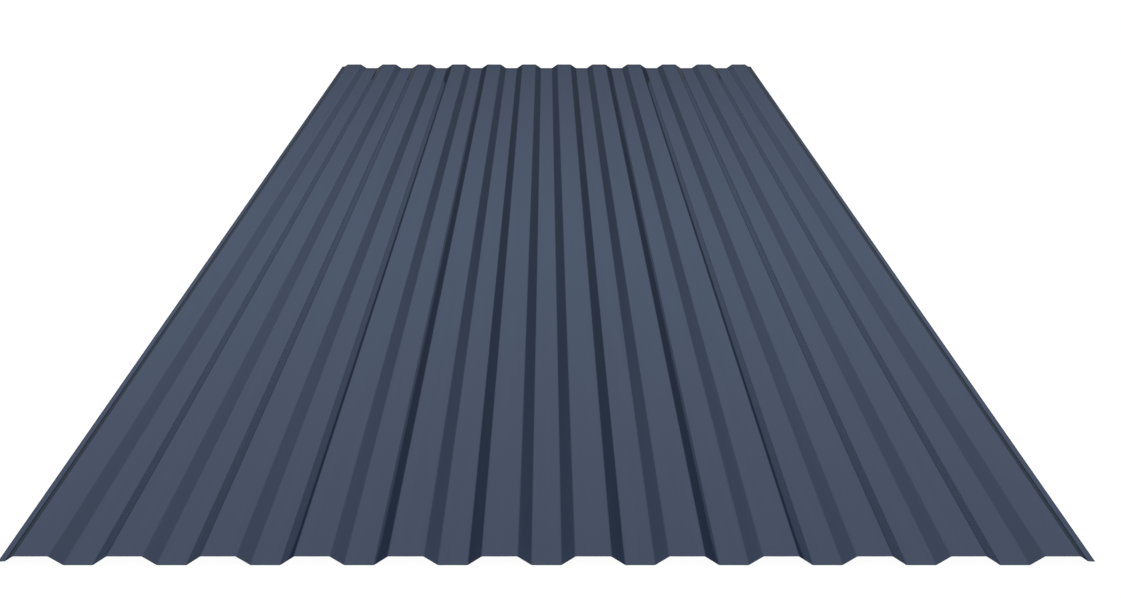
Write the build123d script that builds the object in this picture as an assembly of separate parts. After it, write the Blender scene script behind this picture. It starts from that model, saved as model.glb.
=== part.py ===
"""Profiled steel roofing sheet: one coil-coated sheet, roll-formed into twelve low trapezoidal ribs.

Millimetres. The ribs run along Y and stand up along +Z. The origin is at the middle of the sheet's cover,
on the plane that the valleys rest on.
"""

import os

from build123d import *

# Stock
sheet_length = 3000.0
sheet_thickness = 0.5

# Ribs, measured between the sharp corners of the underside
rib_count = 12
rib_pitch = 100.0
rib_height = 10.5
crest_width = 37.5
web_run = 15.5

# Side laps: each outer rib ends in part of a web and a nearly flat foot
lap_web_run = 8.5
lap_foot_run = 7.5
lap_foot_drop = 0.5

# Radius on the inside of every roll-formed bend
bend_radius = 4.0

web_slope = rib_height / web_run


def rib_centres():
    """Middle of each crest, from -X to +X, spaced evenly about the sheet's middle."""
    first = -rib_pitch * (rib_count - 1) / 2
    return [first + rib_pitch * number for number in range(rib_count)]


def underside_corners():
    """Corners of the underside from one lap edge to the other, each with its outside-of-bend flag."""
    half_crest = crest_width / 2
    half_rib = half_crest + web_run
    foot_height = rib_height - web_slope * lap_web_run
    edge_height = foot_height - lap_foot_drop
    centres = rib_centres()
    corners = []
    for centre in centres:
        if centre == centres[0]:
            foot = centre - half_crest - lap_web_run
            corners += [(foot - lap_foot_run, edge_height, None), (foot, foot_height, True)]
        else:
            corners.append((centre - half_rib, 0.0, True))
        corners += [(centre - half_crest, rib_height, False), (centre + half_crest, rib_height, False)]
        if centre == centres[-1]:
            foot = centre + half_crest + lap_web_run
            corners += [(foot, foot_height, True), (foot + lap_foot_run, edge_height, None)]
        else:
            corners.append((centre + half_rib, 0.0, True))
    return corners


def section():
    """The sheet's cross section: the underside as straight runs and bends, thickened upwards."""
    corners = underside_corners()
    points = [(x, z) for x, z, _ in corners]
    radii = [bend_radius + sheet_thickness if outside else bend_radius for _, _, outside in corners[1:-1]]
    with BuildSketch(Plane.XZ) as profile:
        with BuildLine():
            FilletPolyline(*points, radius=radii)
            offset(amount=sheet_thickness, side=Side.LEFT)
        make_face()
    return profile.sketch


def roofing_sheet():
    """The section drawn out along the ribs, half the length each way."""
    return extrude(section(), amount=sheet_length / 2, both=True)


os.makedirs("parts", exist_ok=True)
export_step(roofing_sheet(), "parts/roofing_sheet.step")
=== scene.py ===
"""The looks of one profiled roofing sheet: coil-coated steel lying on a pale studio floor.

Metres, in the same frame as the solid: ribs along Y, weather side up, valleys resting on Z = 0.
"""

import math

import bmesh
import bpy
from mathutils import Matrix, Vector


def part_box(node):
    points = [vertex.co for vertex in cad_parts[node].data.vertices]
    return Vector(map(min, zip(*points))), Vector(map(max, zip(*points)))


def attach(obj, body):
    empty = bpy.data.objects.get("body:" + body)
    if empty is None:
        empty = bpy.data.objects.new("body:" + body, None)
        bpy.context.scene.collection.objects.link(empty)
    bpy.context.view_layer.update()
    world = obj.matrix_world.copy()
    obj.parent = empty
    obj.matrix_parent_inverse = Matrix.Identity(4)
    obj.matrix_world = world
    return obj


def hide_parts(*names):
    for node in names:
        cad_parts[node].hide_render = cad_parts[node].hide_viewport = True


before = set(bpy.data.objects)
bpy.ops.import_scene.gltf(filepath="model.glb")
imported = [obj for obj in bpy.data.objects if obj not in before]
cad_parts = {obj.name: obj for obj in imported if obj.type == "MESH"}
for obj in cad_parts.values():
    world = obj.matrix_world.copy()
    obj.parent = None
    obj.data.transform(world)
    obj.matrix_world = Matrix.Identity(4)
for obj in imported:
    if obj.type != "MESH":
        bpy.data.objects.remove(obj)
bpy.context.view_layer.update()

NODE = "roofing_sheet"
MM = 0.001

# The sheet, as in its solid
SHEET_LOW, SHEET_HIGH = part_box(NODE)
SHEET_LENGTH = SHEET_HIGH.y - SHEET_LOW.y
RIB_COUNT = 12
RIB_PITCH = 100.0 * MM
RIB_HEIGHT = 10.5 * MM
CREST_WIDTH = 37.5 * MM
WEB_RUN = 15.5 * MM
LAP_WEB_RUN = 8.5 * MM
LAP_FOOT_RUN = 7.5 * MM
LAP_FOOT_DROP = 0.5 * MM
BEND_RADIUS = 4.0 * MM
THICKNESS = 0.5 * MM

# How finely the sheet is drawn, and how far its flats belly between the bends
BEND_STEPS = 6
FLAT_CUTS = 3
ROWS = 60
BELLY_DEPTH = 0.10 * MM
BELLY_LENGTH = 420.0 * MM

# The camera, found from the sheet's outline in the photograph, which is 1121 pixels wide
PHOTO_WIDTH = 1121
SHEET_MIDDLE_X = 546.5
FOCAL_LENGTH_PIXELS = 1583.0
SENSOR_WIDTH = 36.0
CAMERA_TILT = math.radians(18.37)
CAMERA_HEIGHT = 0.802
CAMERA_TO_NEAR_EDGE = 1.5135
CAMERA_REACH = 1000.0

# The coil coating's gloss, its colours and where its streaks change from one to the other, the size of its streaks
# in X, Y and Z, and its orange peel
COAT_ROUGHNESS = 0.05
COAT_IOR = 1.5
COAT_COLOURS = ("#12213A", "#14253C")
STREAK_STOPS = (0.35, 0.65)
STREAK_SIZE = (12.0 * MM, 600.0 * MM, 12.0 * MM)
PEEL_SIZE = 6.0 * MM
PEEL_DEPTH = 0.001 * MM

# Order of the sheet's finishes
TOP_COAT, BACKING_COAT, CUT_EDGE = range(3)

# Studio floor: how far it reaches, how far under the sheet it lies, and how much of its white needs no light
FLOOR_REACH = 200.0
FLOOR_GAP = 0.02 * MM
FLOOR_SHADE = 0.08
FLOOR_LIFT = 0.97

# Plain light on the sheet, as shares of the level at which a colour renders as written
ROOM_LIGHT = 0.5
OVERHEAD_LEVEL = 0.75
OVERHEAD_HEIGHT = 4.0
OVERHEAD_SIZE = (6.0, 8.0)

# The tent's glow, as linear colours by the height above the horizon in degrees, the same all round
TENT_RADIUS = 100.0
TENT_SUBDIVISIONS = 5
TENT_BANDS = (
    (0.0, (0.03, 0.035, 0.045)),
    (8.0, (0.10, 0.12, 0.16)),
    (16.0, (0.32, 0.39, 0.54)),
    (30.0, (0.62, 0.72, 0.95)),
    (60.0, (0.60, 0.64, 0.72)),
)

# The dark cloth on the floor: how far it lies above the paper, and its glow as a linear colour
GROUND_LIFT = 0.2 * MM
GROUND_GLOW = (0.10, 0.11, 0.12)


def linear(hex_colour):
    """An sRGB hex colour as linear RGBA."""
    channels = [int(hex_colour[i : i + 2], 16) / 255 for i in (1, 3, 5)]
    return [c / 12.92 if c <= 0.04045 else ((c + 0.055) / 1.055) ** 2.4 for c in channels] + [1.0]


def add(tree, kind, links=None, values=None, **settings):
    """Adds a node, sets its properties, its inputs' values and its inputs' links, and returns it."""
    node = tree.nodes.new(kind)
    for name, value in settings.items():
        setattr(node, name, value)
    for name, value in (values or {}).items():
        node.inputs[name].default_value = value
    for name, socket in (links or {}).items():
        tree.links.new(socket, node.inputs[name])
    return node


def maths(tree, operation, *terms):
    """The output of a maths node on sockets and numbers."""
    node = add(tree, "ShaderNodeMath", operation=operation)
    for number, term in enumerate(terms):
        if isinstance(term, bpy.types.NodeSocket):
            tree.links.new(term, node.inputs[number])
        else:
            node.inputs[number].default_value = term
    return node.outputs[0]


def material(name, colour, roughness, **inputs):
    """A material with one Principled shader, whose constants are on its own sockets."""
    made = bpy.data.materials.new(name)
    made.use_nodes = True
    shader = made.node_tree.nodes["Principled BSDF"]
    shader.inputs["Base Color"].default_value = linear(colour)
    shader.inputs["Roughness"].default_value = roughness
    for socket, value in inputs.items():
        shader.inputs[socket.replace("_", " ")].default_value = value
    return made


def coil_coating():
    """Polyester coil coating over galvanised steel: roller-coated, glossy, with faint streaks and orange peel."""
    coating = material("polyester_coil_coating", COAT_COLOURS[0], COAT_ROUGHNESS, IOR=COAT_IOR)
    tree = coating.node_tree
    shader = tree.nodes["Principled BSDF"]
    place = add(tree, "ShaderNodeTexCoord").outputs["Object"]

    # The roller leaves streaks along the sheet, hardly lighter than the rest.
    drawn_out = add(tree, "ShaderNodeMapping", {"Vector": place}, {"Scale": [1 / w for w in STREAK_SIZE]}).outputs[0]
    streaks = add(tree, "ShaderNodeTexNoise", {"Vector": drawn_out}, {"Scale": 1.0, "Detail": 2.0}).outputs[0]
    tones = add(tree, "ShaderNodeValToRGB", {"Fac": streaks})
    for stop, share, colour in zip(tones.color_ramp.elements, STREAK_STOPS, COAT_COLOURS):
        stop.position = share
        stop.color = linear(colour)
    tree.links.new(tones.outputs["Color"], shader.inputs["Base Color"])

    # Orange peel is about 1 mm across. It is drawn coarser, so that it shows as a slight unrest in the gloss.
    peel = add(tree, "ShaderNodeTexNoise", {"Vector": place}, {"Scale": 1 / PEEL_SIZE, "Detail": 1.0}).outputs[0]
    bump = add(tree, "ShaderNodeBump", {"Height": peel}, {"Distance": PEEL_DEPTH}).outputs[0]
    tree.links.new(bump, shader.inputs["Normal"])
    return coating


def backing_coat():
    """Thin grey epoxy backing coat on the reverse: even and nearly matt."""
    return material("grey_backing_coat", "#A9ADAC", 0.5, IOR=1.5)


def cut_edge():
    """Sheared edge of galvanised steel: dull bare metal, half a millimetre thick."""
    return material("sheared_galvanised_steel", "#8C8F92", 0.5, Metallic=1.0)


def corner_places(tree, given):
    """Across and up for each numbered corner of the underside: a lap edge, four corners to a rib, a lap edge."""
    index = add(tree, "GeometryNodeInputIndex").outputs[0]
    last = maths(tree, "MULTIPLY_ADD", given["Rib count"], 4.0, 1.0)
    from_end = maths(tree, "MINIMUM", index, maths(tree, "SUBTRACT", last, index))
    is_lap = maths(tree, "LESS_THAN", from_end, 1.5)
    is_edge = maths(tree, "LESS_THAN", from_end, 0.5)

    before = maths(tree, "SUBTRACT", index, 1.0)
    last_rib = maths(tree, "SUBTRACT", given["Rib count"], 1.0)
    rib = maths(tree, "MAXIMUM", maths(tree, "FLOOR", maths(tree, "DIVIDE", before, 4.0)), 0.0)
    rib = maths(tree, "MINIMUM", rib, last_rib)
    place = maths(tree, "SUBTRACT", maths(tree, "MULTIPLY_ADD", rib, -4.0, before), 1.5)
    side = maths(tree, "SIGN", place)
    is_foot = maths(tree, "GREATER_THAN", maths(tree, "ABSOLUTE", place), 1.0)

    lap_shortfall = maths(tree, "SUBTRACT", given["Web run"], given["Lap web run"])
    run = maths(tree, "SUBTRACT", given["Web run"], maths(tree, "MULTIPLY", lap_shortfall, is_lap))
    run = maths(tree, "MULTIPLY", run, is_foot)
    out = maths(tree, "MULTIPLY_ADD", given["Crest width"], 0.5, run)
    out = maths(tree, "MULTIPLY_ADD", given["Lap foot run"], is_edge, out)
    centre = maths(tree, "MULTIPLY", maths(tree, "MULTIPLY_ADD", last_rib, -0.5, rib), given["Rib pitch"])
    across = maths(tree, "MULTIPLY_ADD", out, side, centre)

    slope = maths(tree, "DIVIDE", given["Rib height"], given["Web run"])
    drop = maths(tree, "MULTIPLY_ADD", given["Lap foot drop"], is_edge, maths(tree, "MULTIPLY", slope, run))
    return across, maths(tree, "SUBTRACT", given["Rib height"], drop)


def bend_radii(tree, given, corner, is_corner):
    """Every bend has the same radius on its inside. On the underside a foot's bend is larger by the thickness."""
    in_rib = maths(tree, "FLOORED_MODULO", maths(tree, "SUBTRACT", corner, 2.0), 4.0)
    is_foot = maths(tree, "GREATER_THAN", in_rib, 1.5)
    radius = maths(tree, "MULTIPLY_ADD", given["Thickness"], is_foot, given["Bend radius"])
    return maths(tree, "MULTIPLY", radius, is_corner)


def belly_lift(tree, given):
    """How far a point of a flat is out of true: crests belly down and valleys up, slowly changing along the sheet."""
    position = add(tree, "GeometryNodeInputPosition").outputs[0]
    height = add(tree, "ShaderNodeSeparateXYZ", {"Vector": position}).outputs["Z"]
    scale = maths(tree, "DIVIDE", 1.0, given["Belly length"])
    noise = add(tree, "ShaderNodeTexNoise", {"Vector": position, "Scale": scale}, {"Detail": 1.0}).outputs[0]
    share = add(tree, "GeometryNodeInputNamedAttribute", values={"Name": "belly"}, data_type="FLOAT").outputs[0]
    inwards = maths(tree, "MULTIPLY_ADD", maths(tree, "DIVIDE", height, given["Rib height"]), -2.0, 1.0)
    depth = maths(tree, "MULTIPLY", maths(tree, "MULTIPLY", noise, share), given["Belly depth"])
    return maths(tree, "MULTIPLY", depth, inwards)


def sheet_tree(surface):
    """Geometry Nodes: the section's corners placed by number, rounded, and drawn out along the ribs."""
    tree = bpy.data.node_groups.new("profiled_sheet", "GeometryNodeTree")
    tree.interface.new_socket("Geometry", in_out="OUTPUT", socket_type="NodeSocketGeometry")
    sizes = {
        "Rib pitch": RIB_PITCH,
        "Rib height": RIB_HEIGHT,
        "Crest width": CREST_WIDTH,
        "Web run": WEB_RUN,
        "Lap web run": LAP_WEB_RUN,
        "Lap foot run": LAP_FOOT_RUN,
        "Lap foot drop": LAP_FOOT_DROP,
        "Bend radius": BEND_RADIUS,
        "Thickness": THICKNESS,
        "Length": SHEET_LENGTH,
        "Belly depth": BELLY_DEPTH,
        "Belly length": BELLY_LENGTH,
    }
    for name, size in sizes.items():
        tree.interface.new_socket(name, in_out="INPUT", socket_type="NodeSocketFloat").default_value = size
    count = tree.interface.new_socket("Rib count", in_out="INPUT", socket_type="NodeSocketInt")
    count.default_value = RIB_COUNT
    given = add(tree, "NodeGroupInput").outputs

    across, up = corner_places(tree, given)
    place = add(tree, "ShaderNodeCombineXYZ", {"X": across, "Y": maths(tree, "MULTIPLY", up, -1.0)}).outputs[0]
    corner_count = maths(tree, "MULTIPLY_ADD", given["Rib count"], 4.0, 2.0)
    line = add(tree, "GeometryNodeMeshLine", {"Count": corner_count}).outputs[0]
    line = add(tree, "GeometryNodeSetPosition", {"Geometry": line, "Position": place}).outputs[0]
    line = add(tree, "GeometryNodeMeshToCurve", {"Mesh": line}).outputs[0]
    line = add(tree, "GeometryNodeSubdivideCurve", {"Curve": line}, {"Cuts": FLAT_CUTS}).outputs[0]

    # Every second run of the section is a flat, and all but the laps' feet belly. Their ends at the bends stay true.
    index = add(tree, "GeometryNodeInputIndex").outputs[0]
    along = maths(tree, "DIVIDE", index, FLAT_CUTS + 1.0)
    corner = maths(tree, "FLOOR", along)
    share = maths(tree, "FRACT", along)
    is_flat = maths(tree, "LESS_THAN", maths(tree, "FLOORED_MODULO", corner, 2.0), 0.5)
    last_flat = maths(tree, "MULTIPLY", given["Rib count"], 4.0)
    from_end = maths(tree, "MINIMUM", corner, maths(tree, "SUBTRACT", last_flat, corner))
    is_flat = maths(tree, "MULTIPLY", is_flat, maths(tree, "GREATER_THAN", from_end, 0.5))
    belly = maths(tree, "MULTIPLY", maths(tree, "SINE", maths(tree, "MULTIPLY", share, math.pi)), is_flat)
    line = add(tree, "GeometryNodeStoreNamedAttribute", {"Geometry": line, "Value": belly}, {"Name": "belly"},
               data_type="FLOAT", domain="POINT").outputs[0]
    is_corner = maths(tree, "LESS_THAN", share, 0.5 / (FLAT_CUTS + 1.0))
    radius = bend_radii(tree, given, corner, is_corner)
    section = add(tree, "GeometryNodeFilletCurve", {"Curve": line, "Radius": radius}, {"Count": BEND_STEPS},
                  mode="POLY").outputs[0]

    half = maths(tree, "MULTIPLY", given["Length"], 0.5)
    near = add(tree, "ShaderNodeCombineXYZ", {"Y": maths(tree, "MULTIPLY", half, -1.0)}).outputs[0]
    far = add(tree, "ShaderNodeCombineXYZ", {"Y": half}).outputs[0]
    path = add(tree, "GeometryNodeCurvePrimitiveLine", {"Start": near, "End": far}).outputs[0]
    path = add(tree, "GeometryNodeResampleCurve", {"Curve": path}, {"Count": ROWS + 1}).outputs[0]
    sheet = add(tree, "GeometryNodeCurveToMesh", {"Curve": path, "Profile Curve": section}).outputs[0]
    lift = add(tree, "ShaderNodeCombineXYZ", {"Z": belly_lift(tree, given)}).outputs[0]
    sheet = add(tree, "GeometryNodeSetPosition", {"Geometry": sheet, "Offset": lift}).outputs[0]
    sheet = add(tree, "GeometryNodeRealizeInstances", {"Geometry": sheet}).outputs[0]
    sheet = add(tree, "GeometryNodeSetMaterial", {"Geometry": sheet}, {"Material": surface}).outputs[0]
    add(tree, "NodeGroupOutput", {"Geometry": sheet})
    return tree


def baked(maker, name):
    """The evaluated object's mesh as a plain object of its own, in place of the one that made it."""
    mesh = bpy.data.meshes.new_from_object(maker.evaluated_get(bpy.context.evaluated_depsgraph_get()))
    bpy.data.objects.remove(maker)
    mesh.name = name
    made = bpy.data.objects.new(name, mesh)
    bpy.context.scene.collection.objects.link(made)
    return made


def profiled_sheet():
    """The swept underside with the steel's thickness above it, closed by its cut edges, as one plain mesh."""
    finishes = (coil_coating(), backing_coat(), cut_edge())
    maker = bpy.data.objects.new("sheet_maker", bpy.data.meshes.new("sheet_maker"))
    bpy.context.scene.collection.objects.link(maker)
    maker.modifiers.new("profile", "NODES").node_group = sheet_tree(finishes[0])
    skin = baked(maker, "sheet_skin")
    skin.data.materials.clear()
    for finish in finishes:
        skin.data.materials.append(finish)
    steel = skin.modifiers.new("steel", "SOLIDIFY")
    steel.thickness = THICKNESS
    steel.offset = 1.0
    steel.use_even_offset = True
    steel.material_offset = BACKING_COAT
    steel.material_offset_rim = CUT_EDGE
    sheet = baked(skin, "profiled_sheet")
    for face in sheet.data.polygons:
        face.use_smooth = face.material_index != CUT_EDGE
    sheet.modifiers.new("true_flats", "WEIGHTED_NORMAL").weight = 100
    return sheet


def seen_rays(tree):
    """One for rays from the camera, from gloss and through glass, and none for those that only carry light."""
    path = add(tree, "ShaderNodeLightPath").outputs
    seen = maths(tree, "ADD", path["Is Camera Ray"], path["Is Glossy Ray"])
    return maths(tree, "MINIMUM", maths(tree, "ADD", seen, path["Is Transmission Ray"]), 1.0)


def white_floor():
    """A wide white paper floor, lifted to white where it is seen, which keeps part of the sheet's shadow."""
    paper = bpy.data.materials.new("white_paper")
    paper.use_nodes = True
    tree = paper.node_tree
    tree.nodes.clear()
    lift = maths(tree, "MULTIPLY", seen_rays(tree), FLOOR_LIFT)
    lit = add(tree, "ShaderNodeBsdfDiffuse", values={"Color": [FLOOR_SHADE] * 3 + [1.0]})
    shine = add(tree, "ShaderNodeEmission", {"Strength": lift})
    both = add(tree, "ShaderNodeAddShader")
    tree.links.new(lit.outputs[0], both.inputs[0])
    tree.links.new(shine.outputs[0], both.inputs[1])
    add(tree, "ShaderNodeOutputMaterial", {"Surface": both.outputs[0]})
    mesh = bpy.data.meshes.new("studio_floor")
    r = FLOOR_REACH
    mesh.from_pydata([(-r, -r, 0), (r, -r, 0), (r, r, 0), (-r, r, 0)], [], [(0, 1, 2, 3)])
    mesh.materials.append(paper)
    floor = bpy.data.objects.new("studio_floor", mesh)
    floor.location.z = -FLOOR_GAP
    bpy.context.scene.collection.objects.link(floor)


def only_gloss(thing):
    """Hides a thing from everything but reflections."""
    thing.visible_camera = False
    thing.visible_diffuse = False
    thing.visible_transmission = False
    thing.visible_shadow = False


def graded(tree, place, bands):
    """The colour at a place along a list of places and linear colours."""
    low, high = bands[0][0], bands[-1][0]
    share = add(tree, "ShaderNodeMapRange", {"Value": place}, {"From Min": low, "From Max": high}).outputs[0]
    node = add(tree, "ShaderNodeValToRGB", {"Fac": share})
    ramp = node.color_ramp
    ramp.elements.remove(ramp.elements[1])
    for number, (stop_place, colour) in enumerate(bands):
        share = (stop_place - low) / (high - low)
        stop = ramp.elements[0] if number == 0 else ramp.elements.new(share)
        stop.position = share
        stop.color = list(colour) + [1.0]
    return node.outputs["Color"]


def glowing_cloth(name, colour=(0.0, 0.0, 0.0)):
    """A studio cloth that only glows: its material, and the shader whose colour may still be graded."""
    made = bpy.data.materials.new(name)
    made.use_nodes = True
    tree = made.node_tree
    tree.nodes.clear()
    shine = add(tree, "ShaderNodeEmission", values={"Color": list(colour) + [1.0]})
    add(tree, "ShaderNodeOutputMaterial", {"Surface": shine.outputs[0]})
    return made, shine


def ground_cloth():
    """A dark cloth on the floor that only gloss sees, so that the sheet's edges mirror no white paper."""
    mesh = bpy.data.meshes.new("ground_cloth")
    r = TENT_RADIUS
    mesh.from_pydata([(-r, -r, 0), (r, -r, 0), (r, r, 0), (-r, r, 0)], [], [(0, 1, 2, 3)])
    mesh.materials.append(glowing_cloth("ground_cloth", GROUND_GLOW)[0])
    ground = bpy.data.objects.new("ground_cloth", mesh)
    ground.location.z = GROUND_LIFT
    bpy.context.scene.collection.objects.link(ground)
    only_gloss(ground)


def tent_cloth():
    """The tent's cloth: soft light that changes with the height above the horizon only."""
    made, shine = glowing_cloth("tent_cloth")
    tree = made.node_tree
    place = add(tree, "ShaderNodeTexCoord").outputs["Object"]
    height = add(tree, "ShaderNodeSeparateXYZ", {"Vector": place}).outputs["Z"]
    angle = maths(tree, "DEGREES", maths(tree, "ARCSINE", maths(tree, "DIVIDE", height, TENT_RADIUS)))
    tree.links.new(graded(tree, angle, TENT_BANDS), shine.inputs["Color"])
    return made


def studio_tent():
    """A tent round the set, darkest at the horizon and seen only in gloss, which the sheet mirrors."""
    dome = bmesh.new()
    bmesh.ops.create_icosphere(dome, subdivisions=TENT_SUBDIVISIONS, radius=TENT_RADIUS)
    mesh = bpy.data.meshes.new("studio_tent")
    dome.to_mesh(mesh)
    dome.free()
    mesh.materials.append(tent_cloth())
    tent = bpy.data.objects.new("studio_tent", mesh)
    bpy.context.scene.collection.objects.link(tent)
    only_gloss(tent)


def white_room():
    """The world: white where it is seen, and half of the plain daylight on the sheet."""
    world = bpy.data.worlds.new("white_room")
    bpy.context.scene.world = world
    world.use_nodes = True
    tree = world.node_tree
    tree.nodes.clear()
    strength = maths(tree, "MULTIPLY_ADD", seen_rays(tree), 1.0 - ROOM_LIGHT, ROOM_LIGHT)
    sky = add(tree, "ShaderNodeBackground", {"Strength": strength})
    sky.inputs["Color"].default_value = [1.0] * 4
    add(tree, "ShaderNodeOutputWorld", {"Surface": sky.outputs[0]})


def overhead_softbox():
    """An area lamp above the sheet, facing down. The camera and gloss don't see it."""
    lamp = bpy.data.lights.new("overhead_softbox", "AREA")
    lamp.shape = "RECTANGLE"
    lamp.size, lamp.size_y = OVERHEAD_SIZE
    lamp.energy = OVERHEAD_LEVEL * math.pi * OVERHEAD_SIZE[0] * OVERHEAD_SIZE[1]
    made = bpy.data.objects.new("overhead_softbox", lamp)
    made.location.z = OVERHEAD_HEIGHT
    made.visible_camera = False
    made.visible_glossy = False
    bpy.context.scene.collection.objects.link(made)


def photo_camera():
    """The photograph's view: from the middle of the near edge, looking down along the ribs."""
    data = bpy.data.cameras.new("photo_camera")
    data.sensor_width = SENSOR_WIDTH
    data.lens = FOCAL_LENGTH_PIXELS / PHOTO_WIDTH * SENSOR_WIDTH
    data.shift_x = (PHOTO_WIDTH / 2 - SHEET_MIDDLE_X) / PHOTO_WIDTH
    data.clip_end = CAMERA_REACH
    camera = bpy.data.objects.new("photo_camera", data)
    camera.location = (0.0, SHEET_LOW.y - CAMERA_TO_NEAR_EDGE, CAMERA_HEIGHT)
    camera.rotation_euler = (math.pi / 2 - CAMERA_TILT, 0.0, 0.0)
    bpy.context.scene.collection.objects.link(camera)
    bpy.context.scene.camera = camera


photo_camera()
sheet = profiled_sheet()
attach(sheet, "root")
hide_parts(NODE)
white_floor()
white_room()
studio_tent()
ground_cloth()
overhead_softbox()

bpy.context.scene.view_settings.view_transform = "Standard"
